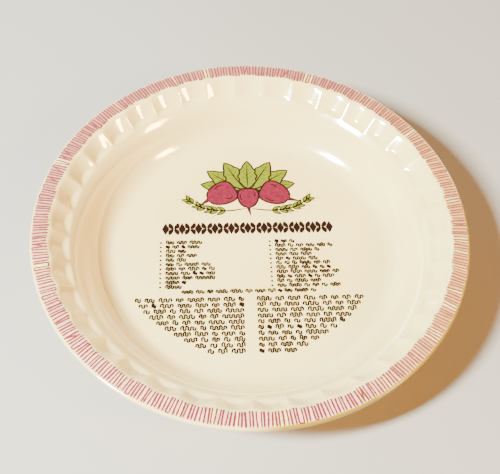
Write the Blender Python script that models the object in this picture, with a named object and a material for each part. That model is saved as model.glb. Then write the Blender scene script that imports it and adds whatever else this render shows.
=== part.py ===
"""A round deep-dish baking dish in glazed ceramic, made as one closed shell.

Lengths are in metres and +Z is up. The origin is the middle of the foot, at the level of the table.
The shell is a stack of rings. They start at the middle of the floor, climb the inner wall and the fluted
band under the rim, cross the flat rim, turn over its outer edge, and go down the outside to the foot.
"""

import math

import bmesh
import bpy

# Driving dimensions
RIM_RADIUS = 0.1525
HEIGHT = 0.0459
RIM_THICKNESS = 0.0048
FLOOR_TOP = 0.0059

# Inside: the flat floor, the lower wall, which is hollow below its steepest place and bulges above it,
# and the crease where it ends under the flutes
FLOOR_RADIUS = 0.0980
CREASE_RADIUS = 0.1274
CREASE_HEIGHT = 0.0344
STEEPEST_PLACE = (0.1162, 0.0194)
LOWER_WALL_HOLLOW = ((FLOOR_RADIUS, FLOOR_TOP), (0.1084, FLOOR_TOP), (0.1149, 0.0168), STEEPEST_PLACE)
LOWER_WALL_BULGE = (STEEPEST_PLACE, (0.1216, 0.0296), (0.1242, 0.0315), (CREASE_RADIUS, CREASE_HEIGHT))

# Fluted band between the crease and the rim
FLUTES = 37
RIDGE_ANGLE = math.radians(-4.2)
RIDGE_TOP_RADIUS = 0.1392
FLUTE_DEPTH_LOW = 0.0031
FLUTE_DEPTH_HIGH = 0.0016
RIDGE_SOFTNESS = 0.06
LEDGE_RISE = 0.18
RIM_INNER_ROUND = 0.0024
RIM_TOP_ROUND = 0.0012
RIM_UNDER_ROUND = 0.0022

# Outside: the bowed wall under the rim, and the ring foot with a shallow recess inside it
RIM_UNDERSIDE_RADIUS = 0.1470
FOOT_OUTER_RADIUS = 0.1048
FOOT_INNER_RADIUS = 0.0975
FOOT_ROUND = 0.0012
RECESS_HEIGHT = 0.0014
OUTER_WALL = (
    (RIM_UNDERSIDE_RADIUS, HEIGHT - RIM_THICKNESS),
    (0.1390, HEIGHT - RIM_THICKNESS),
    (0.1240, 0.0170),
    (FOOT_OUTER_RADIUS + FOOT_ROUND, FOOT_ROUND),
)

# Vertices round a ring, fine where it is fluted and plainer where it is round, and the rings of each curve
FINE = FLUTES * 8
MEDIUM = FLUTES * 4
COARSE = FLUTES * 2
LOWER_WALL_STEPS = 4
OUTER_WALL_STEPS = 7
EDGE_STEPS = 2
ROUND_STEPS = 3
FLUTE_RISES = (0.0, 0.05, 0.10, LEDGE_RISE, 0.5)

GLAZE_COLOUR = (0.84, 0.77, 0.62, 1.0)
GLAZE_ROUGHNESS = 0.12
SMOOTH_ANGLE = math.radians(35)


def mix(low, high, share):
    return low + (high - low) * share


def bezier(corners, t):
    """A point on a cubic curve through the first and last of four (radius, height) corners."""
    weights = ((1 - t) ** 3, 3 * (1 - t) ** 2 * t, 3 * (1 - t) * t**2, t**3)
    radius = sum(w * corner[0] for w, corner in zip(weights, corners))
    height = sum(w * corner[1] for w, corner in zip(weights, corners))
    return radius, height


def round_ring(radius, height):
    """A plain circle, as a rule that gives (radius, height) at any angle."""
    return lambda angle: (radius, height)


def flute_hollow(angle):
    """The flute's hollow at this angle: 0 on a ridge, nearly 1 in the middle of a flute."""
    across = ((angle - RIDGE_ANGLE) * FLUTES / math.tau) % 1.0
    from_ridge = 1.0 - abs(2.0 * across - 1.0)
    softened = math.hypot(from_ridge, RIDGE_SOFTNESS) - RIDGE_SOFTNESS
    return 2.0 * softened - softened**2


def flute_ring(rise):
    """The fluted wall at a share of its height. Each flute starts from the crease as a small ledge."""
    ridge_radius = mix(CREASE_RADIUS, RIDGE_TOP_RADIUS, rise)
    height = mix(CREASE_HEIGHT, HEIGHT, rise)
    ledge = 1.0 - max(0.0, 1.0 - rise / LEDGE_RISE) ** 2
    depth = mix(FLUTE_DEPTH_LOW, FLUTE_DEPTH_HIGH, rise) * ledge
    return lambda angle: (ridge_radius + depth * flute_hollow(angle), height)


def rim_inner_round():
    """Rings that round the scalloped edge between the fluted wall and the flat rim."""
    corner = flute_ring(1.0)
    wall = flute_ring(1.0 - RIM_INNER_ROUND / (HEIGHT - CREASE_HEIGHT))

    def on_round(share):
        def rule(angle):
            wall_radius, wall_height = wall(angle)
            corner_radius, corner_height = corner(angle)
            from_wall = (1.0 - share) ** 2
            radius = corner_radius + from_wall * (wall_radius - corner_radius) + share**2 * RIM_INNER_ROUND
            height = corner_height + from_wall * (wall_height - corner_height)
            return radius, height

        return rule

    return [on_round(step / ROUND_STEPS) for step in range(ROUND_STEPS + 1)]


def rim_edge():
    """Rings round the outer edge of the rim, a small quarter round above and a larger one below."""
    rings = []
    for step in range(EDGE_STEPS + 1):
        turn = math.pi / 2 * step / EDGE_STEPS
        radius = RIM_RADIUS - RIM_TOP_ROUND * (1.0 - math.sin(turn))
        height = HEIGHT - RIM_TOP_ROUND * (1.0 - math.cos(turn))
        rings.append(round_ring(radius, height))
    for step in range(EDGE_STEPS + 1):
        turn = math.pi / 2 * step / EDGE_STEPS
        radius = RIM_RADIUS - RIM_UNDER_ROUND * (1.0 - math.cos(turn))
        height = HEIGHT - RIM_THICKNESS + RIM_UNDER_ROUND * (1.0 - math.sin(turn))
        rings.append(round_ring(radius, height))
    return rings


def foot():
    """Rings from the outside of the foot, across its flat face, up into the recess under the floor."""
    return [
        round_ring(FOOT_OUTER_RADIUS, 0.0),
        round_ring(FOOT_INNER_RADIUS, 0.0),
        round_ring(FOOT_INNER_RADIUS - FOOT_ROUND, RECESS_HEIGHT),
    ]


def dish_rings():
    """All the rings in order, each as (number of vertices, rule)."""
    rings = []
    for curve in (LOWER_WALL_HOLLOW, LOWER_WALL_BULGE):
        for step in range(LOWER_WALL_STEPS):
            rings.append((MEDIUM, round_ring(*bezier(curve, step / LOWER_WALL_STEPS))))
    for rise in FLUTE_RISES:
        rings.append((FINE, flute_ring(rise)))
    for rule in rim_inner_round():
        rings.append((FINE, rule))
    for rule in rim_edge():
        rings.append((MEDIUM, rule))
    for step in range(OUTER_WALL_STEPS + 1):
        rings.append((COARSE, round_ring(*bezier(OUTER_WALL, step / OUTER_WALL_STEPS))))
    for rule in foot():
        rings.append((COARSE, rule))
    return rings


def add_ring(bm, count, rule):
    """Vertices of one ring. Every ring starts on the same ridge, so that rings line up."""
    verts = []
    for i in range(count):
        angle = RIDGE_ANGLE + math.tau * i / count
        radius, height = rule(angle)
        verts.append(bm.verts.new((radius * math.cos(angle), radius * math.sin(angle), height)))
    return verts


def bridge(bm, first, second):
    """Faces between two rings, where one may have twice as many vertices as the other."""
    coarse, fine = sorted((first, second), key=len)
    if len(coarse) == len(fine):
        for i in range(len(coarse)):
            bm.faces.new((coarse[i - 1], coarse[i], fine[i], fine[i - 1]))
        return
    for i in range(len(coarse)):
        left, right = coarse[i - 1], coarse[i]
        fine_left, fine_middle, fine_right = fine[2 * i - 2], fine[2 * i - 1], fine[2 * i]
        bm.faces.new((left, fine_middle, fine_left))
        bm.faces.new((left, right, fine_middle))
        bm.faces.new((right, fine_right, fine_middle))


def close_disc(bm, ring, height):
    """A flat disc of triangles from a ring to its middle."""
    middle = bm.verts.new((0.0, 0.0, height))
    for i in range(len(ring)):
        bm.faces.new((ring[i - 1], ring[i], middle))


def glaze():
    material = bpy.data.materials.new("cream_glaze")
    material.use_nodes = True
    shader = material.node_tree.nodes["Principled BSDF"]
    shader.inputs["Base Color"].default_value = GLAZE_COLOUR
    shader.inputs["Roughness"].default_value = GLAZE_ROUGHNESS
    shader.inputs["Metallic"].default_value = 0.0
    return material


def make_dish():
    bm = bmesh.new()
    rings = [add_ring(bm, count, rule) for count, rule in dish_rings()]
    for first, second in zip(rings, rings[1:]):
        bridge(bm, first, second)
    close_disc(bm, rings[0], FLOOR_TOP)
    close_disc(bm, rings[-1], RECESS_HEIGHT)
    bmesh.ops.recalc_face_normals(bm, faces=bm.faces)
    mesh = bpy.data.meshes.new("dish")
    bm.to_mesh(mesh)
    bm.free()
    mesh.materials.append(glaze())
    mesh.shade_smooth()
    mesh.set_sharp_from_angle(angle=SMOOTH_ANGLE)
    dish = bpy.data.objects.new("dish", mesh)
    bpy.context.scene.collection.objects.link(dish)
    return dish


for leftover in list(bpy.data.objects):
    bpy.data.objects.remove(leftover)
make_dish()
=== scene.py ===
"""Looks of a round deep-dish baking dish in cream glazed ceramic, with print on its rim and its floor.

Lengths are in metres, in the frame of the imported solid: the origin is the middle of the foot, +Z is up,
and +Y is the top of the printed picture.
"""

import math
import random

import bpy
from mathutils import Matrix, Vector


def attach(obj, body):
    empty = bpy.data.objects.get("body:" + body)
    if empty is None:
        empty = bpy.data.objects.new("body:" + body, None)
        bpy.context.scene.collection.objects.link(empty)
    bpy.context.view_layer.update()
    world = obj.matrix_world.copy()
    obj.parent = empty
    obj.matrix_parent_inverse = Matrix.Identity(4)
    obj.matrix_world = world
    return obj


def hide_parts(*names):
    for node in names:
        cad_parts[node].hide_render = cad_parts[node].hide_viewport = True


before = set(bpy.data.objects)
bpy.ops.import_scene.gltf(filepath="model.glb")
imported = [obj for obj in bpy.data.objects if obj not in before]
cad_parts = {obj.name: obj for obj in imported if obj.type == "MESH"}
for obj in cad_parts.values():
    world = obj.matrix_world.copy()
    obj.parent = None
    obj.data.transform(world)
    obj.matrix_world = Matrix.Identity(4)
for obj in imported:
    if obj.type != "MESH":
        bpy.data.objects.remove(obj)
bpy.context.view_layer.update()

MM = 0.001

# The dish, with the same sizes as its solid
RIM_RADIUS = 152.5 * MM
HEIGHT = 45.9 * MM
RIM_THICKNESS = 4.8 * MM
FLOOR_TOP = 5.9 * MM
FLOOR_RADIUS = 98.0 * MM
CREASE_RADIUS = 127.4 * MM
CREASE_HEIGHT = 34.4 * MM
STEEPEST_PLACE = (116.2 * MM, 19.4 * MM)
LOWER_WALL_HOLLOW = (
    (FLOOR_RADIUS, FLOOR_TOP),
    (108.4 * MM, FLOOR_TOP),
    (114.9 * MM, 16.8 * MM),
    STEEPEST_PLACE,
)
LOWER_WALL_BULGE = (
    STEEPEST_PLACE,
    (121.6 * MM, 29.6 * MM),
    (124.2 * MM, 31.5 * MM),
    (CREASE_RADIUS, CREASE_HEIGHT),
)
FLUTES = 37
RIDGE_ANGLE = math.radians(-4.2)
RIDGE_TOP_RADIUS = 139.2 * MM
FLUTE_DEPTH_LOW = 3.1 * MM
FLUTE_DEPTH_HIGH = 1.6 * MM
RIDGE_SOFTNESS = 0.06
LEDGE_RISE = 0.18
RIM_INNER_ROUND = 2.4 * MM
RIM_TOP_ROUND = 1.2 * MM
RIM_UNDER_ROUND = 2.2 * MM
RIM_UNDERSIDE_RADIUS = 147.0 * MM
FOOT_OUTER_RADIUS = 104.8 * MM
FOOT_INNER_RADIUS = 97.5 * MM
FOOT_ROUND = 1.2 * MM
RECESS_HEIGHT = 1.4 * MM
OUTER_WALL = (
    (RIM_UNDERSIDE_RADIUS, HEIGHT - RIM_THICKNESS),
    (139.0 * MM, HEIGHT - RIM_THICKNESS),
    (124.0 * MM, 17.0 * MM),
    (FOOT_OUTER_RADIUS + FOOT_ROUND, FOOT_ROUND),
)

# Vertices round a ring and rings along each curve
FINE = FLUTES * 24
MEDIUM = FLUTES * 12
WALL_STEPS = 12
CREASE_STEPS = 5
INNER_EDGE_STEPS = 8
OUTER_EDGE_STEPS = 7
OUTER_WALL_STEPS = 20
FOOT_STEPS = 5

# Rings as shares of the floor's radius and of the fluted wall's height
FLOOR_SHARES = (0.3, 0.6, 0.8, 0.93)
FLUTE_SHARES = (0.09, 0.11, 0.13, 0.155, 0.18, 0.24, 0.32, 0.42, 0.54, 0.66)
# Where the turn at the crease starts on the lower wall's curve, and ends on the fluted wall
CREASE_START = 0.955
CREASE_END = 0.07

# Colours, as linear RGB
CREAM = (0.82, 0.60, 0.21)
CREAM_DEEP = (0.78, 0.55, 0.17)
BISQUE = (0.62, 0.50, 0.36)
# Colour of the painted warm reflection on the rim's outer edge at the right and front
PAINTED_REFLECTION_HONEY = (0.28, 0.165, 0.0)
SPECK = (0.22, 0.11, 0.04)
ROSE = (0.112, 0.006, 0.014)
ROSE_LIGHT = (0.155, 0.011, 0.022)
STROKES_FRONT = (0.18, 0.017, 0.024)
STROKES_BACK = (0.19, 0.036, 0.035)
STROKES_RIGHT = (0.22, 0.066, 0.03)
WASH_FRONT = (0.8, 0.44, 0.26)
WASH_BACK = (0.48, 0.2, 0.11)
WASH_RIGHT = (0.62, 0.28, 0.085)
GREEN = (0.15, 0.16, 0.005)
GREEN_DARK = (0.115, 0.125, 0.0025)
BROWN = (0.01, 0.0014, 0.0005)
BROWN_SOFT = (0.02, 0.005, 0.003)

# Layers of print: the height of the lowest, the step between them, and their depth below the glaze's surface
LAYER = 0.02 * MM
STEP = 0.012 * MM
SINK = 0.05 * MM


def mix(low, high, share):
    return low + (high - low) * share


def bezier(corners, t):
    """A point on a cubic curve through the first and last of four corners."""
    weights = ((1 - t) ** 3, 3 * (1 - t) ** 2 * t, 3 * (1 - t) * t**2, t**3)
    return tuple(sum(w * corner[axis] for w, corner in zip(weights, corners)) for axis in range(2))


# The dish's rings: each rule gives (radius, height) at an angle


def round_ring(radius, height):
    return lambda angle: (radius, height)


def flute_hollow(angle):
    """The flute's hollow at this angle: 0 on a ridge, nearly 1 in the middle of a flute."""
    across = ((angle - RIDGE_ANGLE) * FLUTES / math.tau) % 1.0
    from_ridge = 1.0 - abs(2.0 * across - 1.0)
    softened = math.hypot(from_ridge, RIDGE_SOFTNESS) - RIDGE_SOFTNESS
    return 2.0 * softened - softened**2


def flute_ring(rise):
    """The fluted wall at a share of its height. Each flute starts from the crease as a small ledge."""
    ridge_radius = mix(CREASE_RADIUS, RIDGE_TOP_RADIUS, rise)
    height = mix(CREASE_HEIGHT, HEIGHT, rise)
    ledge = 1.0 - max(0.0, 1.0 - rise / LEDGE_RISE) ** 2
    depth = mix(FLUTE_DEPTH_LOW, FLUTE_DEPTH_HIGH, rise) * ledge
    return lambda angle: (ridge_radius + depth * flute_hollow(angle), height)


WALL_TOP = flute_ring(1.0 - RIM_INNER_ROUND / (HEIGHT - CREASE_HEIGHT))
SCALLOP = flute_ring(1.0)


def turned(before, corner, after, share):
    """A rule part of the way along the smooth turn from one rule to another, bent towards the corner."""
    weights = ((1 - share) ** 2, 2 * share * (1 - share), share**2)

    def rule(angle):
        points = (before(angle), corner(angle), after(angle))
        return tuple(sum(w * point[axis] for w, point in zip(weights, points)) for axis in range(2))

    return rule


def turn(before, corner, after, steps):
    return [turned(before, corner, after, step / steps) for step in range(steps + 1)]


def flat_start(angle):
    """Where the flat of the rim starts, outside its rounded scalloped edge."""
    return (SCALLOP(angle)[0] + RIM_INNER_ROUND, HEIGHT)


def rim_edge():
    """Rings round the outer edge of the rim, a small quarter round above and a larger one below."""
    rules = []
    for step in range(OUTER_EDGE_STEPS + 1):
        bend = math.pi / 2 * step / OUTER_EDGE_STEPS
        radius = RIM_RADIUS - RIM_TOP_ROUND * (1.0 - math.sin(bend))
        rules.append(round_ring(radius, HEIGHT - RIM_TOP_ROUND * (1.0 - math.cos(bend))))
    for step in range(OUTER_EDGE_STEPS + 1):
        bend = math.pi / 2 * step / OUTER_EDGE_STEPS
        radius = RIM_RADIUS - RIM_UNDER_ROUND * (1.0 - math.cos(bend))
        rules.append(round_ring(radius, HEIGHT - RIM_THICKNESS + RIM_UNDER_ROUND * (1.0 - math.sin(bend))))
    return rules


def foot():
    """Rings round the foot: its outer edge, its flat unglazed face, and up into the recess."""
    outer = turn(
        round_ring(*OUTER_WALL[-1]),
        round_ring(FOOT_OUTER_RADIUS + 0.3 * MM, 0.0),
        round_ring(FOOT_OUTER_RADIUS - 0.6 * MM, 0.0),
        FOOT_STEPS,
    )
    inner = turn(
        round_ring(FOOT_INNER_RADIUS + 0.6 * MM, 0.0),
        round_ring(FOOT_INNER_RADIUS - 0.3 * MM, 0.0),
        round_ring(FOOT_INNER_RADIUS - FOOT_ROUND, RECESS_HEIGHT),
        FOOT_STEPS,
    )
    return outer[1:] + inner


def dish_rings():
    """All the rings in order, from the middle of the floor to the middle of the recess."""
    rings = [(MEDIUM, round_ring(FLOOR_RADIUS * share, FLOOR_TOP)) for share in FLOOR_SHARES]
    for curve in (LOWER_WALL_HOLLOW, LOWER_WALL_BULGE):
        for step in range(WALL_STEPS):
            rings.append((MEDIUM, round_ring(*bezier(curve, step / WALL_STEPS))))
    below_crease = round_ring(*bezier(LOWER_WALL_BULGE, CREASE_START))
    crease = turn(below_crease, flute_ring(0.0), flute_ring(CREASE_END), CREASE_STEPS)
    rings += [(FINE, rule) for rule in crease]
    rings += [(FINE, flute_ring(share)) for share in FLUTE_SHARES]
    rings += [(FINE, rule) for rule in turn(WALL_TOP, SCALLOP, flat_start, INNER_EDGE_STEPS)]
    rings += [(MEDIUM, rule) for rule in rim_edge()]
    for step in range(OUTER_WALL_STEPS + 1):
        rings.append((MEDIUM, round_ring(*bezier(OUTER_WALL, step / OUTER_WALL_STEPS))))
    rings += [(MEDIUM, rule) for rule in foot()]
    return rings


class Shape:
    """Vertices and faces of one mesh piece, made of one or more closed solids."""

    def __init__(self):
        self.verts = []
        self.faces = []

    def add(self, points):
        first = len(self.verts)
        self.verts.extend(points)
        return list(range(first, len(self.verts)))

    def bridge(self, first, second):
        """Faces between two rings, where the second may have twice or half as many vertices."""
        if len(first) == len(second):
            for i in range(len(first)):
                self.faces.append((first[i - 1], first[i], second[i], second[i - 1]))
            return
        flip = len(first) > len(second)
        coarse, fine = (second, first) if flip else (first, second)
        for i in range(len(coarse)):
            left, right = coarse[i - 1], coarse[i]
            fine_left, fine_middle, fine_right = fine[2 * i - 2], fine[2 * i - 1], fine[2 * i]
            triangles = (
                (left, fine_middle, fine_left),
                (left, right, fine_middle),
                (right, fine_right, fine_middle),
            )
            for face in triangles:
                self.faces.append(face[::-1] if flip else face)

    def prism(self, outline, base, top):
        """A flat plate with this outline, whichever way it runs."""
        area = sum(a[0] * b[1] - b[0] * a[1] for a, b in zip(outline, outline[1:] + outline[:1]))
        if area < 0:
            outline = outline[::-1]
        lower = self.add([(x, y, base) for x, y in outline])
        upper = self.add([(x, y, top) for x, y in outline])
        count = len(outline)
        self.faces.append(tuple(upper))
        self.faces.append(tuple(reversed(lower)))
        for i in range(count):
            after = (i + 1) % count
            self.faces.append((lower[i], lower[after], upper[after], upper[i]))

    def ribbon(self, points, widths, lay, lift, closed=False):
        """A thin line of varying width along flat points. lay gives the height of what it lies on."""
        sections = []
        count = len(points)
        for i, (x, y) in enumerate(points):
            before = points[i - 1] if closed or i else points[i]
            after = points[(i + 1) % count] if closed or i < count - 1 else points[i]
            dx, dy = after[0] - before[0], after[1] - before[1]
            length = math.hypot(dx, dy) or 1.0
            side_x, side_y = -dy / length * widths[i] / 2, dx / length * widths[i] / 2
            left, right = (x + side_x, y + side_y), (x - side_x, y - side_y)
            corners = [(*right, -SINK), (*right, lift), (*left, lift), (*left, -SINK)]
            sections.append(self.add([(px, py, lay(px, py) + rise) for px, py, rise in corners]))
        pairs = list(zip(sections, sections[1:]))
        if closed:
            pairs.append((sections[-1], sections[0]))
        for first, second in pairs:
            for i in range(4):
                after = (i + 1) % 4
                self.faces.append((first[i], second[i], second[after], first[after]))
        if not closed:
            self.faces.append(tuple(sections[0]))
            self.faces.append(tuple(reversed(sections[-1])))

    def build(self, name, materials, smooth=False):
        mesh = bpy.data.meshes.new(name)
        mesh.from_pydata(self.verts, [], self.faces)
        mesh.validate()
        for material in materials:
            mesh.materials.append(material)
        if smooth:
            mesh.shade_smooth()
        piece = bpy.data.objects.new(name, mesh)
        bpy.context.scene.collection.objects.link(piece)
        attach(piece, "root")
        return piece


# Materials

GLAZE_IOR = 1.6
GLAZE_ROUGHNESS = (0.10, 0.18)
COAT_IOR = 1.8
COAT_ROUGHNESS = 0.08
CLAY_ROUGHNESS = 0.85
# Uneven surfaces: waves to the metre, detail, strength and height
SLOW_WAVES = (55.0, 2.0, 0.25, 0.6 * MM)
ORANGE_PEEL = (420.0, 2.0, 0.10, 0.08 * MM)
CLAY_GRAIN = (1500.0, 3.0, 0.6, 0.1 * MM)
# Specks: cells to the metre, radius as a share of a cell, and the share of cells without one
SPECKS = (95.0, 0.05, 0.80)
# Sides of the dish: degrees from +X, and where a change starts and ends that way, from the middle
TO_THE_BACK = (90.0, -110.0 * MM, 60.0 * MM)
TO_THE_RIGHT = (-5.0, 60.0 * MM, 130.0 * MM)
# The side of the rim's outer edge that carries the painted warm reflection
TO_THE_REFLECTION_SIDE = (-40.0, 88.0 * MM, 108.0 * MM)
# How far inside the rim's edge the painted warm reflection starts, and where it is full
REFLECTION_EDGE_WIDTHS = (2.0 * MM, 1.5 * MM)
# The faces of the foot lower than this are unglazed
BARE_BELOW = 0.06 * MM


def node(tree, kind, **settings):
    made = tree.nodes.new(kind)
    for name, value in settings.items():
        setattr(made, name, value)
    return made


def noise(tree, scale, detail=2.0, roughness=0.5):
    """Noise in the object's own space, scaled in waves to the metre."""
    space = node(tree, "ShaderNodeTexCoord")
    made = node(tree, "ShaderNodeTexNoise")
    made.inputs["Scale"].default_value = scale
    made.inputs["Detail"].default_value = detail
    made.inputs["Roughness"].default_value = roughness
    tree.links.new(space.outputs["Object"], made.inputs["Vector"])
    return made.outputs["Fac"]


def blend_colours(tree, factor, first, second):
    """A mix of two colours, each a linear RGB triple or another node's output."""
    made = node(tree, "ShaderNodeMix", data_type="RGBA")
    tree.links.new(factor, made.inputs["Factor"])
    for socket, colour in zip((made.inputs[6], made.inputs[7]), (first, second)):
        if isinstance(colour, tuple):
            socket.default_value = (*colour, 1.0)
        else:
            tree.links.new(colour, socket)
    return made.outputs[2]


def ramp(tree, value, low, high, out_low=0.0, out_high=1.0):
    """A value taken from one range to another, held at its ends."""
    made = node(tree, "ShaderNodeMapRange")
    made.clamp = True
    made.inputs["From Min"].default_value = low
    made.inputs["From Max"].default_value = high
    made.inputs["To Min"].default_value = out_low
    made.inputs["To Max"].default_value = out_high
    tree.links.new(value, made.inputs["Value"])
    return made.outputs["Result"]


def bump(tree, scale, detail, strength, height):
    """A surface made uneven by noise."""
    made = node(tree, "ShaderNodeBump")
    made.inputs["Strength"].default_value = strength
    made.inputs["Distance"].default_value = height
    tree.links.new(noise(tree, scale, detail), made.inputs["Height"])
    return made


def finish_glaze(tree, shader):
    """The shine, slow waves and fine orange peel of a fired glaze, the same on every glazed piece."""
    shader.inputs["IOR"].default_value = GLAZE_IOR
    uneven = ramp(tree, noise(tree, 130.0, 3.0), 0.3, 0.7, *GLAZE_ROUGHNESS)
    tree.links.new(uneven, shader.inputs["Roughness"])
    shader.inputs["Coat Weight"].default_value = 1.0
    shader.inputs["Coat IOR"].default_value = COAT_IOR
    shader.inputs["Coat Roughness"].default_value = COAT_ROUGHNESS
    slow = bump(tree, *SLOW_WAVES)
    fine = bump(tree, *ORANGE_PEEL)
    tree.links.new(slow.outputs["Normal"], fine.inputs["Normal"])
    tree.links.new(fine.outputs["Normal"], shader.inputs["Normal"])
    tree.links.new(fine.outputs["Normal"], shader.inputs["Coat Normal"])


def start_material(name):
    material = bpy.data.materials.new(name)
    material.use_nodes = True
    tree = material.node_tree
    return material, tree, tree.nodes["Principled BSDF"]


def specks(tree, cell, radius, chosen):
    """Small round specks, one in some of the cells of a grid of that many cells to the metre."""
    space = node(tree, "ShaderNodeTexCoord")
    cells = node(tree, "ShaderNodeTexVoronoi")
    cells.inputs["Scale"].default_value = cell
    tree.links.new(space.outputs["Object"], cells.inputs["Vector"])
    near = ramp(tree, cells.outputs["Distance"], radius * 0.6, radius, 1.0, 0.0)
    split = node(tree, "ShaderNodeSeparateColor")
    tree.links.new(cells.outputs["Color"], split.inputs["Color"])
    picked = ramp(tree, split.outputs["Red"], chosen, chosen + 0.02)
    both = node(tree, "ShaderNodeMath", operation="MULTIPLY")
    tree.links.new(near, both.inputs[0])
    tree.links.new(picked, both.inputs[1])
    return both.outputs["Value"]


def toward(tree, degrees, low, high):
    """How far a place lies towards one side, from 0 at low to 1 at high, in metres from the middle."""
    space = node(tree, "ShaderNodeTexCoord")
    along = node(tree, "ShaderNodeVectorMath", operation="DOT_PRODUCT")
    angle = math.radians(degrees)
    along.inputs[1].default_value = (math.cos(angle), math.sin(angle), 0.0)
    tree.links.new(space.outputs["Object"], along.inputs[0])
    return ramp(tree, along.outputs["Value"], low, high)


def painted_reflection_edge(tree):
    """Painted warm reflection, from 0 to 1: over the rim's outer edge, at the dish's right and front."""
    space = node(tree, "ShaderNodeTexCoord")
    flat = node(tree, "ShaderNodeVectorMath", operation="MULTIPLY")
    flat.inputs[1].default_value = (1.0, 1.0, 0.0)
    tree.links.new(space.outputs["Object"], flat.inputs[0])
    radius = node(tree, "ShaderNodeVectorMath", operation="LENGTH")
    tree.links.new(flat.outputs["Vector"], radius.inputs[0])
    times = node(tree, "ShaderNodeMath", operation="MULTIPLY")
    start, full = (RIM_RADIUS - width for width in REFLECTION_EDGE_WIDTHS)
    tree.links.new(ramp(tree, radius.outputs["Value"], start, full), times.inputs[0])
    tree.links.new(toward(tree, *TO_THE_REFLECTION_SIDE), times.inputs[1])
    return times.outputs["Value"]


def cream_glaze():
    """Cloudy cream glaze with a few specks. Over the rim's outer edge at the right and front it takes a
    painted honey-coloured reflection, without its coat.
    """
    material, tree, shader = start_material("cream_glaze")
    cloudy = ramp(tree, noise(tree, 16.0, 3.0), 0.35, 0.7)
    body = blend_colours(tree, cloudy, CREAM, CREAM_DEEP)
    dotted = blend_colours(tree, specks(tree, *SPECKS), body, SPECK)
    # A painted warm reflection over the rim's outer edge at the right and front
    edge_reflection = painted_reflection_edge(tree)
    tree.links.new(blend_colours(tree, edge_reflection, dotted, PAINTED_REFLECTION_HONEY), shader.inputs["Base Color"])
    finish_glaze(tree, shader)
    tree.links.new(ramp(tree, edge_reflection, 0.0, 1.0, 1.0, 0.0), shader.inputs["Coat Weight"])
    return material


def bisque():
    """The bare fired clay of the foot."""
    material, tree, shader = start_material("bisque")
    grain = ramp(tree, noise(tree, 900.0, 4.0), 0.3, 0.7)
    tree.links.new(blend_colours(tree, grain, BISQUE, CREAM_DEEP), shader.inputs["Base Color"])
    shader.inputs["Roughness"].default_value = CLAY_ROUGHNESS
    grainy = bump(tree, *CLAY_GRAIN)
    tree.links.new(grainy.outputs["Normal"], shader.inputs["Normal"])
    return material


def print_colour(name, colour, other, scale, low=0.35, high=0.65):
    """Ceramic print: two tones mixed unevenly, as glossy as the glaze."""
    material, tree, shader = start_material(name)
    tone = ramp(tree, noise(tree, scale, 3.0, 0.6), low, high)
    tree.links.new(blend_colours(tree, tone, colour, other), shader.inputs["Base Color"])
    finish_glaze(tree, shader)
    return material


def rim_colour(name, front, back, right):
    """A tint on the rim that is patchy and changes from the front and left to the back and the right."""
    material, tree, shader = start_material(name)
    sides = blend_colours(tree, toward(tree, *TO_THE_BACK), front, back)
    sides = blend_colours(tree, toward(tree, *TO_THE_RIGHT), sides, right)
    patchy = ramp(tree, noise(tree, 60.0, 3.0, 0.6), 0.45, 0.80, 0.0, 0.35)
    tree.links.new(blend_colours(tree, patchy, sides, ROSE), shader.inputs["Base Color"])
    finish_glaze(tree, shader)
    return material


def make_dish():
    """The dish's body: its rings joined one to the next, with its foot left unglazed."""
    shape = Shape()
    rings = []
    for count, rule in dish_rings():
        points = []
        for i in range(count):
            angle = RIDGE_ANGLE + math.tau * i / count
            radius, height = rule(angle)
            points.append((radius * math.cos(angle), radius * math.sin(angle), height))
        rings.append(shape.add(points))
    middle, recess = shape.add([(0.0, 0.0, FLOOR_TOP), (0.0, 0.0, RECESS_HEIGHT)])
    for first, second in zip(rings, rings[1:]):
        shape.bridge(second, first)
    for i in range(MEDIUM):
        shape.faces.append((rings[0][i - 1], rings[0][i], middle))
        shape.faces.append((rings[-1][i], rings[-1][i - 1], recess))
    dish = shape.build("dish_body", [cream_glaze(), bisque()], smooth=True)
    for face in dish.data.polygons:
        if max(dish.data.vertices[v].co.z for v in face.vertices) < BARE_BELOW:
            face.material_index = 1
    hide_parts("dish")


# The hatched band on the rim

STROKES = 400
STROKE_WIDTH = 1.25 * MM
BAND_OUTER_RADIUS = 151.4 * MM
BAND_INNER_RADIUS = 140.9 * MM
BAND_SHIFT = (0.1 * MM, 0.45 * MM)

# Heights above the rim, sections along each line, and the least width of the tint
STROKE_RISE = 0.07 * MM
JOIN_RISE = 0.06 * MM
WASH_RISE = 0.045 * MM
STROKE_STEPS = 12
JOIN_STEPS = 4
WASH_STEPS = 10
WASH_NARROWEST = 0.4 * MM

# How uneven the strokes are: drift as a share of their pitch, slant and bow in degrees
DRIFT = 0.17
SLANT_SPREAD = 0.16
SLANT_KEPT = 0.6
BOW_SPREAD = 0.04
# Widths as shares: of one stroke, along its edges, and of the dot that some have at the inner end
STROKE_WIDTHS = (0.82, 1.15)
EDGE_WIDTHS = (0.8, 1.12)
DOT_WIDTHS = (1.0, 1.45)
NO_DOT_WIDTH = 0.8
DOT_CHANCE = 0.5
# Where strokes end, outwards from the band's two radii, and how far the inner ends follow the flutes
INNER_ENDS = (-1.05 * MM, -0.15 * MM)
OUTER_ENDS = (-0.3 * MM, 0.2 * MM)
FOLLOW_FLUTES = 0.9 * MM

# Where a stroke and the next are joined, from 0 at the inner end to 1 at the outer end
INNER_JOIN = (0.02, 0.02)
OUTER_JOIN = (0.97, 0.97)
CROSS_JOIN = (0.9, 0.1)
CROSS_CHANCE = 0.15
INNER_CHANCE = 0.5
JOIN_WIDTH = 0.75
# Where a piece of tint starts and ends, and how many strokes a tinted or a bare run takes
WASH_STARTS = (0.0, 0.03, 0.06, 0.1)
WASH_ENDS = (0.97, 1.0, 1.0, 0.95)
TINTED_RUN = (2, 5)
BARE_RUN = (1, 2)
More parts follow.
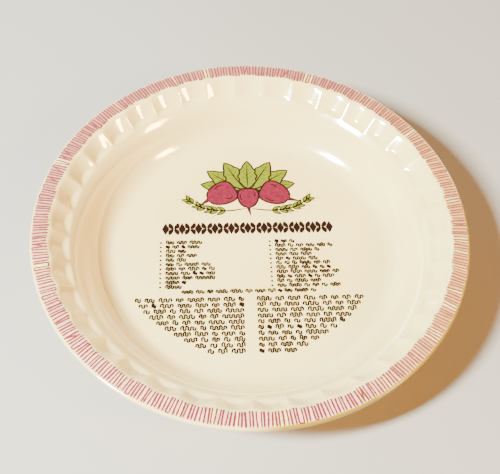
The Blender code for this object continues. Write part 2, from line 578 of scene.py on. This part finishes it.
# How much of the band is tinted between its strokes, and how many strokes are joined, at degrees from +X
TINTED = ((0, 0.85), (70, 0.85), (120, 0.92), (150, 0.8), (200, 0.7), (300, 0.7), (360, 0.85))
JOINED = ((0, 0.05), (90, 0.08), (130, 0.20), (210, 0.20), (240, 0.05), (360, 0.05))
# Halvings in the search for a place on the rim's inner rounding
HALVINGS = 14


def rim_lay(x, y):
    """Height of the rim's top at a place on it, which falls where its edges are rounded."""
    angle = math.atan2(y, x)
    radius = math.hypot(x, y)
    beyond = min(1.0, (radius - RIM_RADIUS) / RIM_TOP_ROUND + 1.0)
    if beyond > 0.0:
        return HEIGHT - RIM_TOP_ROUND * (1.0 - math.sqrt(1.0 - beyond**2))
    if radius >= flat_start(angle)[0]:
        return HEIGHT
    low, high = 0.0, 1.0
    for _ in range(HALVINGS):
        share = (low + high) / 2
        if turned(WALL_TOP, SCALLOP, flat_start, share)(angle)[0] < radius:
            low = share
        else:
            high = share
    return turned(WALL_TOP, SCALLOP, flat_start, high)(angle)[1]


def read_table(table, place):
    """A value read between the places of a table."""
    for (left, low), (right, high) in zip(table, table[1:]):
        if left <= place <= right:
            return mix(low, high, (place - left) / (right - left))
    return table[-1][1]


def band_point(angle, slant, bow, inner, outer, t):
    """A point of a stroke, from its inner end at t = 0 to its outer end at t = 1."""
    bent = angle + slant * (t - 0.5) + bow * math.sin(math.pi * t)
    radius = mix(inner, outer, t)
    return (radius * math.cos(bent) + BAND_SHIFT[0], radius * math.sin(bent) + BAND_SHIFT[1])


def plan_strokes():
    """Place, slant, bow and ends of each stroke, uneven as if drawn by hand."""
    draw = random.Random(5)
    strokes = []
    slant = 0.0
    for i in range(STROKES):
        angle = math.tau * (i + draw.uniform(-DRIFT, DRIFT)) / STROKES
        slant = SLANT_KEPT * slant + math.radians(draw.gauss(0.0, SLANT_SPREAD))
        bow = math.radians(draw.gauss(0.0, BOW_SPREAD))
        inner = BAND_INNER_RADIUS + FOLLOW_FLUTES * flute_hollow(angle) + draw.uniform(*INNER_ENDS)
        outer = BAND_OUTER_RADIUS + draw.uniform(*OUTER_ENDS)
        strokes.append((angle, slant, bow, inner, outer))
    return strokes


def make_strokes(strokes):
    """Short strokes across the rim, some of them joined to the next."""
    draw = random.Random(8)
    shape = Shape()
    shares = [(step / STROKE_STEPS) ** 1.4 for step in range(STROKE_STEPS + 1)]
    for k, stroke in enumerate(strokes):
        width = STROKE_WIDTH * draw.uniform(*STROKE_WIDTHS)
        dot = draw.uniform(*DOT_WIDTHS) if draw.random() < DOT_CHANCE else NO_DOT_WIDTH
        points = [band_point(*stroke, t) for t in shares]
        widths = []
        for t in shares:
            outer_end = min(1.0, 0.5 + 6.0 * (1.0 - t))
            inner_end = mix(dot, 1.0, min(1.0, 6.0 * t))
            widths.append(width * outer_end * inner_end * draw.uniform(*EDGE_WIDTHS))
        shape.ribbon(points, widths, rim_lay, STROKE_RISE)
        following = strokes[(k + 1) % STROKES]
        chance = draw.random() / read_table(JOINED, math.degrees(stroke[0]) % 360.0)
        if chance >= 1.0:
            continue
        if chance < CROSS_CHANCE:
            ends = CROSS_JOIN
        elif chance < INNER_CHANCE:
            ends = INNER_JOIN
        else:
            ends = OUTER_JOIN
        first = band_point(*stroke, ends[0])
        second = band_point(*following, ends[1])
        bridge = []
        for step in range(JOIN_STEPS + 1):
            share = step / JOIN_STEPS
            bridge.append((mix(first[0], second[0], share), mix(first[1], second[1], share)))
        shape.ribbon(bridge, [JOIN_WIDTH * width] * len(bridge), rim_lay, JOIN_RISE)
    material = rim_colour("rose_strokes", STROKES_FRONT, STROKES_BACK, STROKES_RIGHT)
    piece = shape.build("rim_strokes", [material])


def make_wash(strokes):
    """The thin tint between neighbouring strokes, in runs with bare gaps between them."""
    draw = random.Random(3)
    shape = Shape()
    run = 0
    for k, stroke in enumerate(strokes):
        if run == 0:
            filled = draw.random() < read_table(TINTED, math.degrees(stroke[0]) % 360.0)
            run = draw.randint(*(TINTED_RUN if filled else BARE_RUN))
        run -= 1
        if not filled:
            continue
        following = strokes[(k + 1) % STROKES]
        start = draw.choice(WASH_STARTS)
        end = draw.choice(WASH_ENDS)
        points = []
        widths = []
        for step in range(WASH_STEPS + 1):
            t = mix(start, end, step / WASH_STEPS)
            here, there = band_point(*stroke, t), band_point(*following, t)
            points.append(((here[0] + there[0]) / 2, (here[1] + there[1]) / 2))
            widths.append(max(WASH_NARROWEST, math.dist(here, there)))
        shape.ribbon(points, widths, rim_lay, WASH_RISE)
    material = rim_colour("rose_wash", WASH_FRONT, WASH_BACK, WASH_RIGHT)
    piece = shape.build("rim_wash", [material])


# The printed middle

LINE = 1.15 * MM

# The sizes from here on are in millimetres on the floor. place() takes them to metres.

# The border: its middle, the pitch of its lozenges, and the outlines of a lozenge and of one leaf of a cross
BORDER_Y = 22.5
BORDER_PITCH = 12.3
BORDER_SHIFT = -0.5
LOZENGE = ((0, -5.5), (2.9, 0), (0, 5.5), (-2.9, 0))
PETAL = ((0.2, 0.2), (0.8, 3.2), (3.3, 5.4), (4.3, 2.8), (2.9, 0.4))

# The bunch: degrees, length and width of each leaf, and crown, degrees and size of each root
BUNCH_MIDDLE = (1.0, 58.5)
LEAVES = (
    (170, 31, 14),
    (10, 31, 14),
    (146, 32, 15),
    (34, 32, 15),
    (120, 30, 15),
    (60, 30, 15),
    (90, 27, 14),
)
ROOTS = (
    ((-9.5, 60.0), -152, 23.0),
    ((11.5, 60.0), -28, 23.0),
    ((1.0, 59.5), -91, 18.0),
)
LEAF_STEPS = 24
ROOT_STEPS = 20
VEINS = (0.34, 0.50, 0.66)
# Strokes on a root: start and end along it, and how far to one side, as shares of its size
ROOT_STROKES = ((0.22, 0.44, 0.30), (0.30, 0.62, -0.34))

# The wheat: its stem, and a grain's outline, with shares of the grain's length along it
STEM = ((2, 40.5), (18, 38.6), (35, 41.5), (48, 50.5))
GRAINS = 7
GRAIN_LENGTHS = (7.0, 5.2)
GRAIN_SPREAD = 0.5
GRAIN = ((0, 0), (0.35, 1.4), (0.8, 1.0), (1, 0), (0.7, -0.7), (0.3, -0.8))
AWN_LENGTH = 4.0

# Rows of words: the size of a word's strokes, the gap to the next word, and the line's weight
LIST_WORDS = (1.75, 1.5, 0.7)
MIDDLE_WORDS = (1.7, 1.4, 0.7)
BLOCK_WORDS = (2.05, 2.2, 0.64)
# The lists: where each starts, and the lengths of its rows from the top down
LISTS = (
    (-61.7, (27, 25, 15, 23, 15, 33, 36, 36, 36, 15, 12)),
    (18.9, (15, 43, 33, 27, 31, 40, 40, 46, 42, 32, 46)),
)
LIST_TOP = 10.2
LIST_PITCH = 3.82
BULLET_RADIUS = 0.9
BULLET_CORNERS = 10
BULLET_GAP = 3.6
# The middle line's start, end and height
MIDDLE_LINE = (-50.0, 46.6, -32.3)
# The two blocks: their rows, the gap between them, the circle they fill and how they narrow downwards
BLOCK_ROWS = 10
BLOCK_TOP = -38.8
BLOCK_PITCH = 4.55
BLOCK_GAP = (-5.5, 3.5)
BLOCK_CIRCLE = 91.5
BLOCK_NARROWING = 0.0035
BLOCK_SHORT_RIGHT = 2.5


def curve_point(a, b, c, d, t):
    """A point between b and c on the soft curve through four points (Catmull-Rom)."""
    point = []
    for axis in range(2):
        slope = c[axis] - a[axis]
        square = 2 * a[axis] - 5 * b[axis] + 4 * c[axis] - d[axis]
        cube = 3 * b[axis] - a[axis] - 3 * c[axis] + d[axis]
        point.append(0.5 * (2 * b[axis] + slope * t + square * t**2 + cube * t**3))
    return tuple(point)


def smooth_line(points, steps=6, closed=False):
    """A soft curve through all the given points."""
    count = len(points)
    line = []
    for i in range(count if closed else count - 1):
        if closed:
            a, b, c, d = (points[(i + k) % count] for k in (-1, 0, 1, 2))
        else:
            a, b, c, d = points[max(i - 1, 0)], points[i], points[i + 1], points[min(i + 2, count - 1)]
        for step in range(steps):
            line.append(curve_point(a, b, c, d, step / steps))
    if not closed:
        line.append(points[-1])
    return line


def place(points, origin=(0.0, 0.0), angle=0.0):
    """Points in millimetres, turned and moved to their place in metres."""
    c, s = math.cos(angle) * MM, math.sin(angle) * MM
    ox, oy = origin[0] * MM, origin[1] * MM
    return [(ox + c * x - s * y, oy + s * x + c * y) for x, y in points]


def floor_lay(x, y):
    return FLOOR_TOP


class Picture:
    """The print's inks, each a shape of its own. Each motif lies a step above the one before."""

    def __init__(self):
        self.inks = {"rose": Shape(), "green": Shape(), "brown": Shape()}
        self.level = LAYER

    def next_motif(self):
        self.level += STEP

    def fill(self, ink, outline):
        self.inks[ink].prism(outline, FLOOR_TOP - SINK, FLOOR_TOP + self.level)

    def line(self, points, width=LINE, taper=0.35, closed=False):
        last = len(points) - 1
        widths = []
        for i in range(len(points)):
            end = 1.0 if closed else min(1.0, taper + 4.0 * min(i, last - i) / last)
            widths.append(width * end)
        self.inks["brown"].ribbon(points, widths, floor_lay, self.level + STEP / 2, closed)


def leaf(picture, root, angle, length, width):
    """A pointed leaf with a wavy edge, a midrib and side veins."""
    picture.next_motif()
    side = []
    for i in range(LEAF_STEPS + 1):
        t = i / LEAF_STEPS
        swell = math.sin(math.pi * t**0.8) ** 0.85
        wave = 1.0 + 0.10 * math.sin(math.tau * 5 * t) * math.sin(math.pi * t)
        side.append((length * t, width / 2 * swell * wave))
    outline = side + [(x, -y) for x, y in reversed(side[1:-1])]
    picture.fill("green", place(outline, root, angle))
    picture.line(place(outline, root, angle), closed=True)
    picture.line(place([(0.0, 0.0), (length * 0.45, 0.35), (length * 0.86, 0.0)], root, angle), 0.9 * LINE)
    for t in VEINS:
        for side_of in (1, -1):
            vein = [(length * t, 0.0), (length * (t + 0.12), side_of * width * 0.30 * math.sin(math.pi * t))]
            picture.line(place(vein, root, angle), 0.6 * LINE)


def radish(picture, crown, angle, size):
    """A round root with a tapering tail, drawn from its crown along the angle."""
    picture.next_motif()
    half = []
    for i in range(ROOT_STEPS + 1):
        t = i / ROOT_STEPS
        swell = math.sin(math.pi * min(1.0, t * 1.02)) ** 0.62 * (1.0 - 0.42 * t)
        half.append((size * (1.0 - math.cos(math.pi * t)) / 2, 0.56 * size * swell))
    tail_end = (size * 1.42, size * 0.10)
    outline = half[:-2] + [(size * 1.02, size * 0.05), tail_end, (size * 1.0, -size * 0.05)]
    outline += [(x, -y) for x, y in reversed(half[1:-2])]
    picture.fill("rose", place(outline, crown, angle))
    picture.line(place(outline, crown, angle), closed=True)
    for start, end, rise in ROOT_STROKES:
        arc = [
            (size * start, size * rise * 0.9),
            (size * (start + end) / 2, size * rise),
            (size * end, size * rise * 0.8),
        ]
        picture.line(place(smooth_line(arc), crown, angle), 0.7 * LINE)


def wheat(picture, stem):
    """An ear of wheat: a bent stem with pairs of grains along its outer part."""
    picture.next_motif()
    line = smooth_line(stem, 12)
    picture.line(place(line), LINE)
    for k in range(GRAINS):
        i = int((len(line) - 2) * (0.36 + 0.60 * k / (GRAINS - 1)))
        heading = math.atan2(line[i + 1][1] - line[i][1], line[i + 1][0] - line[i][0])
        length = mix(*GRAIN_LENGTHS, k / (GRAINS - 1))
        for side_of in (1, -1):
            angle = heading + side_of * GRAIN_SPREAD
            outline = smooth_line([(length * x, side_of * y) for x, y in GRAIN], 4, closed=True)
            picture.fill("green", place(outline, line[i], angle))
            picture.line(place(outline, line[i], angle), 0.7 * LINE, closed=True)
            awn = [(length, 0.0), (length + AWN_LENGTH, side_of * 0.6)]
            picture.line(place(awn, line[i], angle), 0.6 * LINE)


def bunch(picture):
    """The picture over the rows: a bunch of radishes with their leaves, between two ears of wheat."""
    for side_of in (1, -1):
        wheat(picture, [(side_of * x + 1, y) for x, y in STEM])
    for degrees, length, width in LEAVES:
        angle = math.radians(degrees)
        root = (BUNCH_MIDDLE[0] + 6.0 * math.cos(angle), BUNCH_MIDDLE[1] + 1.0 * math.sin(angle))
        leaf(picture, root, angle, length, width)
    for crown, degrees, size in ROOTS:
        radish(picture, crown, math.radians(degrees), size)


def border(picture):
    """The bold row under the picture: a border of lozenges and leaf crosses."""
    for k in range(-5, 6):
        picture.fill("brown", place(LOZENGE, (k * BORDER_PITCH + BORDER_SHIFT, BORDER_Y)))
    for k in range(-5, 5):
        for side_x in (1, -1):
            for side_y in (1, -1):
                outline = smooth_line([(side_x * x, side_y * y) for x, y in PETAL], 4, closed=True)
                picture.fill("brown", place(outline, ((k + 0.5) * BORDER_PITCH + BORDER_SHIFT, BORDER_Y)))


def word(picture, draw, x, y, length, size, weight):
    """A run of joined upright strokes that stands for a word, with no letters in it."""
    count = max(3, round(length / (0.78 * size)))
    points = []
    for k in range(count):
        place_x = x + length * (k + 0.5) / count
        low, high = y - 0.5 * size, y + 0.5 * size * draw.choice((1.0, 1.0, 1.0, 1.7))
        points += [(place_x, low), (place_x, high)] if k % 2 == 0 else [(place_x, high), (place_x, low)]
    picture.line(place(smooth_line(points, 3)), weight * size * MM, taper=0.9)


def row(picture, draw, start, end, y, size, gap, weight):
    """One row of words that fills the width from start to end."""
    x = start
    while end - x > 1.2 * size:
        length = min(end - x, draw.uniform(1.6, 6.2) * size)
        if end - x - length < gap + 1.5 * size:
            length = end - x
        word(picture, draw, x, y, length, size, weight)
        x += length + gap


def rows(picture):
    """Two lists with bullets, a middle line, and two blocks that follow the round of the floor."""
    draw = random.Random(11)
    bullet = []
    for i in range(BULLET_CORNERS):
        angle = math.tau * i / BULLET_CORNERS
        bullet.append((BULLET_RADIUS * math.cos(angle), BULLET_RADIUS * math.sin(angle)))
    for start, lengths in LISTS:
        for k, length in enumerate(lengths):
            y = LIST_TOP - LIST_PITCH * k
            row(picture, draw, start, start + length, y, *LIST_WORDS)
            picture.fill("brown", place(bullet, (start - BULLET_GAP, y)))
    row(picture, draw, *MIDDLE_LINE, *MIDDLE_WORDS)
    for k in range(BLOCK_ROWS):
        y = BLOCK_TOP - BLOCK_PITCH * k
        reach = math.sqrt(BLOCK_CIRCLE**2 - y**2) * (1.0 - BLOCK_NARROWING * k**2)
        row(picture, draw, -reach, BLOCK_GAP[0], y, *BLOCK_WORDS)
        row(picture, draw, BLOCK_GAP[1], reach - BLOCK_SHORT_RIGHT, y, *BLOCK_WORDS)


def make_print():
    """The print on the floor, one piece for each ink."""
    picture = Picture()
    border(picture)
    rows(picture)
    bunch(picture)
    inks = {
        "rose": print_colour("rose_ink", ROSE, ROSE_LIGHT, 320.0),
        "green": print_colour("green_ink", GREEN, GREEN_DARK, 320.0),
        "brown": print_colour("brown_ink", BROWN, BROWN_SOFT, 700.0, 0.5, 0.8),
    }
    for ink, shape in picture.inks.items():
        piece = shape.build(f"print_{ink}", [inks[ink]])


# Floor, lights and camera

PRINT_TURN = math.radians(-4.68)
CAMERA_DISTANCE = 594.7 * MM
CAMERA_ELEVATION = math.radians(56.01)
CAMERA_ROLL = math.radians(2.92)
CAMERA_AIM = (-0.34 * MM, -12.69 * MM)
CAMERA_LENS = 62.06
SENSOR_WIDTH = 36.0

# Lights: name, azimuth, elevation, distance, width, height, power and colour
LIGHTS = (
    ("window", -150, 46, 1.6, 0.15, 0.34, 228, (0.81, 0.95, 1.0)),
    ("lamp", -26.5, 35, 1.6, 0.25, 0.38, 43, (1.0, 0.51, 0.13)),
    ("backdrop_glow", 108, 23, 1.3, 2.2, 0.5, 7, (0.90, 0.96, 1.0)),
)
LIGHTS_AIM_HEIGHT = 20.0 * MM
ROOM_COLOUR = (1.0, 0.98, 0.94, 1.0)
ROOM_STRENGTH = 0.16

STAGE_HALF_WIDTH = 3.0
STAGE_DROP = 0.2 * MM
STAGE_TONES = ((0.35, 0.30, 0.235), (0.33, 0.28, 0.22))
STAGE_ROUGHNESS = 0.6


def make_camera():
    """The photograph's view: from the front, high up, with a slight roll."""
    back = Vector((0.0, -math.cos(CAMERA_ELEVATION), math.sin(CAMERA_ELEVATION)))
    right = Vector((1.0, 0.0, 0.0))
    up = back.cross(right)
    c, s = math.cos(CAMERA_ROLL), math.sin(CAMERA_ROLL)
    rolled_right = c * right + s * up
    rolled_up = c * up - s * right
    turned_view = Matrix((rolled_right, rolled_up, back)).transposed().to_4x4()
    target = Vector((*CAMERA_AIM, HEIGHT))
    data = bpy.data.cameras.new("camera")
    data.lens = CAMERA_LENS
    data.sensor_width = SENSOR_WIDTH
    camera = bpy.data.objects.new("camera", data)
    whole_turn = Matrix.Rotation(PRINT_TURN, 4, "Z")
    camera.matrix_world = whole_turn @ Matrix.Translation(target + back * CAMERA_DISTANCE) @ turned_view
    bpy.context.scene.collection.objects.link(camera)
    bpy.context.scene.camera = camera


def area_light(name, azimuth, elevation, distance, width, height, power, colour):
    """A rectangle that shines at the dish. The azimuth is counted from the camera's right, anticlockwise."""
    data = bpy.data.lights.new(name, "AREA")
    data.shape = "RECTANGLE"
    data.size = width
    data.size_y = height
    data.energy = power
    data.color = colour
    light = bpy.data.objects.new(name, data)
    a, e = math.radians(azimuth) + PRINT_TURN, math.radians(elevation)
    way = Vector((math.cos(a) * math.cos(e), math.sin(a) * math.cos(e), math.sin(e)))
    light.location = way * distance + Vector((0.0, 0.0, LIGHTS_AIM_HEIGHT))
    light.rotation_euler = way.to_track_quat("Z", "Y").to_euler()
    bpy.context.scene.collection.objects.link(light)


def make_lights():
    for light in LIGHTS:
        area_light(*light)
    world = bpy.data.worlds.new("soft_room")
    world.use_nodes = True
    background = world.node_tree.nodes["Background"]
    background.inputs["Color"].default_value = ROOM_COLOUR
    background.inputs["Strength"].default_value = ROOM_STRENGTH
    bpy.context.scene.world = world


def make_floor():
    """The plain pale stage under the dish."""
    half = STAGE_HALF_WIDTH
    mesh = bpy.data.meshes.new("floor")
    corners = [(-half, -half, 0.0), (half, -half, 0.0), (half, half, 0.0), (-half, half, 0.0)]
    mesh.from_pydata(corners, [], [(0, 1, 2, 3)])
    material, tree, shader = start_material("pale_floor")
    tone = ramp(tree, noise(tree, 3.0, 2.0), 0.3, 0.7)
    tree.links.new(blend_colours(tree, tone, *STAGE_TONES), shader.inputs["Base Color"])
    shader.inputs["Roughness"].default_value = STAGE_ROUGHNESS
    mesh.materials.append(material)
    floor = bpy.data.objects.new("floor", mesh)
    floor.location.z = -STAGE_DROP
    bpy.context.scene.collection.objects.link(floor)


make_camera()
make_lights()
make_floor()
make_dish()
band = plan_strokes()
make_wash(band)
make_strokes(band)
make_print()

bpy.context.view_layer.update()
